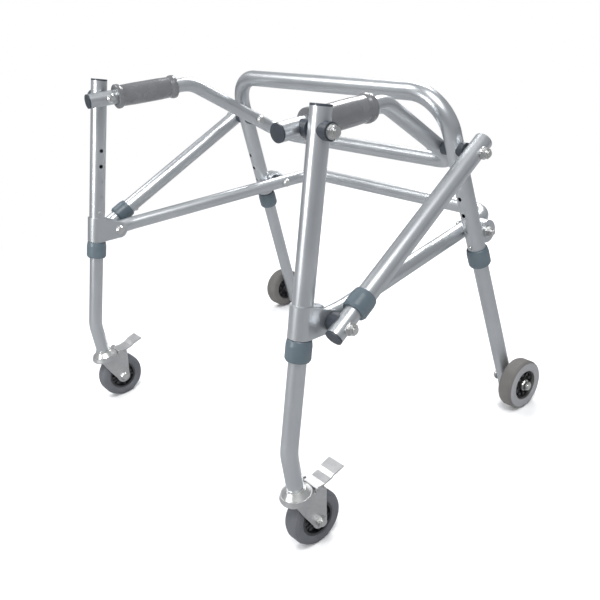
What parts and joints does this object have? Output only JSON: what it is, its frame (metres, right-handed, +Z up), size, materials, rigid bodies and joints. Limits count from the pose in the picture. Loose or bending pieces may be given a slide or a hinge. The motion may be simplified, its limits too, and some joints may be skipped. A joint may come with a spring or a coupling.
{
  "type": "folding posterior walker",
  "caption": "Folding reverse walker of bent aluminium tube: hand grips ahead of a closed rear, swivel casters in front, fixed wheels behind, telescoping legs and locking diagonals",
  "frame": {"origin": "on the floor, under the middle of the walker from side to side and from the front casters to the lower rear crossbar", "axes": "X across the walker, plus towards the user's left; Y from the open front to the closed rear; Z up"},
  "size_m": [0.658, 0.5079, 0.5461],
  "materials": {
    "tube": "satin anodised",
    "collar": "moulded satin",
    "grip": "matte moulded",
    "cap": "matte moulded",
    "zinc": "bright zinc",
    "wheel": "moulded",
    "caster_tyre": "matte",
    "rear_tyre": "matte"
  },
  "bodies": {
    "handle_bar": {"handle_tube": "tube", "hand_grips": "grip", "handle_caps": "cap", "handle_fasteners": "zinc", "handle_saddles": "cap"},
    "rear_frame": {"rear_frame": "tube", "rear_collars": "collar", "rear_spacers": "cap", "lower_fasteners": "zinc"},
    "lower_link": {"lower_link": "tube"},
    "post_left": {"front_post_left": "tube", "post_cap_left": "cap", "link_bracket_left": "zinc", "post_collar_left": "collar", "link_bolt_left": "zinc", "post_spacer_left": "cap"},
    "diagonal_left": {"diagonal_tube_left": "tube", "diagonal_collar_left": "collar"},
    "slider_left": {"diagonal_slider_left": "tube", "slider_cap_left": "cap", "slider_pivot_left": "zinc"},
    "diagonal_clip_left": {"diagonal_clip_left": "zinc"},
    "leg_left": {"front_leg_left": "tube", "caster_mount_left": "zinc"},
    "front_clip_left": {"front_clip_left": "zinc"},
    "caster_left": {"caster_fork_left": "zinc", "caster_axle_left": "zinc"},
    "pedal_left": {"caster_pedal_left": "zinc"},
    "front_wheel_left": {"front_hub_left": "wheel", "front_tyre_left": "caster_tyre"},
    "rear_leg_left": {"rear_leg_left": "tube", "rear_axle_left": "zinc"},
    "rear_clip_left": {"rear_clip_left": "zinc"},
    "rear_wheel_left": {"rear_hub_left": "wheel", "rear_tyre_left": "rear_tyre"},
    "post_right": {"front_post_right": "tube", "post_cap_right": "cap", "link_bracket_right": "zinc", "post_collar_right": "collar", "link_bolt_right": "zinc", "post_spacer_right": "cap"},
    "diagonal_right": {"diagonal_tube_right": "tube", "diagonal_collar_right": "collar"},
    "slider_right": {"diagonal_slider_right": "tube", "slider_cap_right": "cap", "slider_pivot_right": "zinc"},
    "diagonal_clip_right": {"diagonal_clip_right": "zinc"},
    "leg_right": {"front_leg_right": "tube", "caster_mount_right": "zinc"},
    "front_clip_right": {"front_clip_right": "zinc"},
    "caster_right": {"caster_fork_right": "zinc", "caster_axle_right": "zinc"},
    "pedal_right": {"caster_pedal_right": "zinc"},
    "front_wheel_right": {"front_hub_right": "wheel", "front_tyre_right": "caster_tyre"},
    "rear_leg_right": {"rear_leg_right": "tube", "rear_axle_right": "zinc"},
    "rear_clip_right": {"rear_clip_right": "zinc"},
    "rear_wheel_right": {"rear_hub_right": "wheel", "rear_tyre_right": "rear_tyre"}
  },
  "joints": [
    {"name": "fold_left", "type": "hinge", "parent": "handle_bar", "child": "post_left", "pos_m": [0.2735, -0.11748, 0.51611], "axis": [-1, 0, 0], "range_deg": [0, 32]},
    {"name": "diagonal_swing_left", "type": "hinge", "parent": "handle_bar", "child": "diagonal_left", "pos_m": [0.2753, 0.13529, 0.419], "axis": [-1, 0, 0], "range_deg": [0, 13]},
    {"name": "diagonal_slide_left", "type": "slide", "parent": "diagonal_left", "child": "slider_left", "axis": [0.1022, -0.9158, -0.3884], "range_m": [0, 0.095]},
    {"name": "diagonal_clip_left_press", "type": "slide", "parent": "slider_left", "child": "diagonal_clip_left", "axis": [0.0431, -0.386, 0.9215], "range_m": [0, 0.0033], "stiffness_N_per_m": 1500, "deforming": ["diagonal_clip_left"]},
    {"name": "front_height_left", "type": "slide", "parent": "post_left", "child": "leg_left", "axis": [0, 0.2949, 0.9555], "range_m": [0, 0.1016]},
    {"name": "front_clip_left_press", "type": "slide", "parent": "leg_left", "child": "front_clip_left", "axis": [1, 0, 0], "range_m": [0, 0.0033], "stiffness_N_per_m": 1500, "deforming": ["front_clip_left"]},
    {"name": "caster_swivel_left", "type": "hinge", "parent": "leg_left", "child": "caster_left", "pos_m": [0.2735, -0.23139, 0.085], "axis": [0, 0, 1], "continuous": true},
    {"name": "front_wheel_spin_left", "type": "hinge", "parent": "caster_left", "child": "front_wheel_left", "pos_m": [0.2735, -0.21338, 0.038], "axis": [1, 0, 0], "continuous": true},
    {"name": "pedal_press_left", "type": "hinge", "parent": "caster_left", "child": "pedal_left", "pos_m": [0.2735, -0.20739, 0.0843], "axis": [-1, 0, 0], "range_deg": [0, 12.5]},
    {"name": "rear_height_left", "type": "slide", "parent": "rear_frame", "child": "rear_leg_left", "axis": [-0.0698, -0.1431, 0.9872], "range_m": [0, 0.0762]},
    {"name": "rear_clip_left_press", "type": "slide", "parent": "rear_leg_left", "child": "rear_clip_left", "axis": [0, 0.9897, 0.1435], "range_m": [0, 0.0033], "stiffness_N_per_m": 1500, "deforming": ["rear_clip_left"]},
    {"name": "rear_wheel_spin_left", "type": "hinge", "parent": "rear_leg_left", "child": "rear_wheel_left", "pos_m": [0.29, 0.19054, 0.038], "axis": [1, 0, 0], "continuous": true},
    {"name": "fold_right", "type": "hinge", "parent": "handle_bar", "child": "post_right", "pos_m": [-0.2735, -0.11748, 0.51611], "axis": [-1, 0, 0], "range_deg": [0, 32]},
    {"name": "diagonal_swing_right", "type": "hinge", "parent": "handle_bar", "child": "diagonal_right", "pos_m": [-0.2753, 0.13529, 0.419], "axis": [-1, 0, 0], "range_deg": [0, 13]},
    {"name": "diagonal_slide_right", "type": "slide", "parent": "diagonal_right", "child": "slider_right", "axis": [-0.1022, -0.9158, -0.3884], "range_m": [0, 0.095]},
    {"name": "diagonal_clip_right_press", "type": "slide", "parent": "slider_right", "child": "diagonal_clip_right", "axis": [-0.0431, -0.386, 0.9215], "range_m": [0, 0.0033], "stiffness_N_per_m": 1500, "deforming": ["diagonal_clip_right"]},
    {"name": "front_height_right", "type": "slide", "parent": "post_right", "child": "leg_right", "axis": [0, 0.2949, 0.9555], "range_m": [0, 0.1016]},
    {"name": "front_clip_right_press", "type": "slide", "parent": "leg_right", "child": "front_clip_right", "axis": [-1, 0, 0], "range_m": [0, 0.0033], "stiffness_N_per_m": 1500, "deforming": ["front_clip_right"]},
    {"name": "caster_swivel_right", "type": "hinge", "parent": "leg_right", "child": "caster_right", "pos_m": [-0.2735, -0.23139, 0.085], "axis": [0, 0, 1], "continuous": true},
    {"name": "front_wheel_spin_right", "type": "hinge", "parent": "caster_right", "child": "front_wheel_right", "pos_m": [-0.2735, -0.21338, 0.038], "axis": [1, 0, 0], "continuous": true},
    {"name": "pedal_press_right", "type": "hinge", "parent": "caster_right", "child": "pedal_right", "pos_m": [-0.2735, -0.20739, 0.0843], "axis": [-1, 0, 0], "range_deg": [0, 12.5]},
    {"name": "rear_height_right", "type": "slide", "parent": "rear_frame", "child": "rear_leg_right", "axis": [0.0698, -0.1431, 0.9872], "range_m": [0, 0.0762]},
    {"name": "rear_clip_right_press", "type": "slide", "parent": "rear_leg_right", "child": "rear_clip_right", "axis": [0, 0.9897, 0.1435], "range_m": [0, 0.0033], "stiffness_N_per_m": 1500, "deforming": ["rear_clip_right"]},
    {"name": "rear_wheel_spin_right", "type": "hinge", "parent": "rear_leg_right", "child": "rear_wheel_right", "pos_m": [-0.29, 0.19054, 0.038], "axis": [1, 0, 0], "continuous": true},
    {"name": "rear_fold", "type": "hinge", "parent": "handle_bar", "child": "rear_frame", "pos_m": [0, 0.13529, 0.419], "axis": [-1, 0, 0], "range_deg": [0, 50]},
    {"name": "lower_link_fold", "type": "hinge", "parent": "rear_frame", "child": "lower_link", "pos_m": [0, 0.17682, 0.288], "axis": [-1, 0, 0], "range_deg": [-43, 0]}
  ],
  "couplings": [
    {"joint": "diagonal_swing_left", "follows": "fold_left", "ratio": 0.39679},
    {"joint": "diagonal_slide_left", "follows": "fold_left", "m_per_rad": 0.16767},
    {"joint": "fold_right", "follows": "fold_left", "ratio": 1},
    {"joint": "diagonal_swing_right", "follows": "fold_left", "ratio": 0.39679},
    {"joint": "diagonal_slide_right", "follows": "fold_left", "m_per_rad": 0.16767},
    {"joint": "rear_fold", "follows": "fold_left", "ratio": 1.5376},
    {"joint": "lower_link_fold", "follows": "fold_left", "ratio": -1.3322}
  ]
}
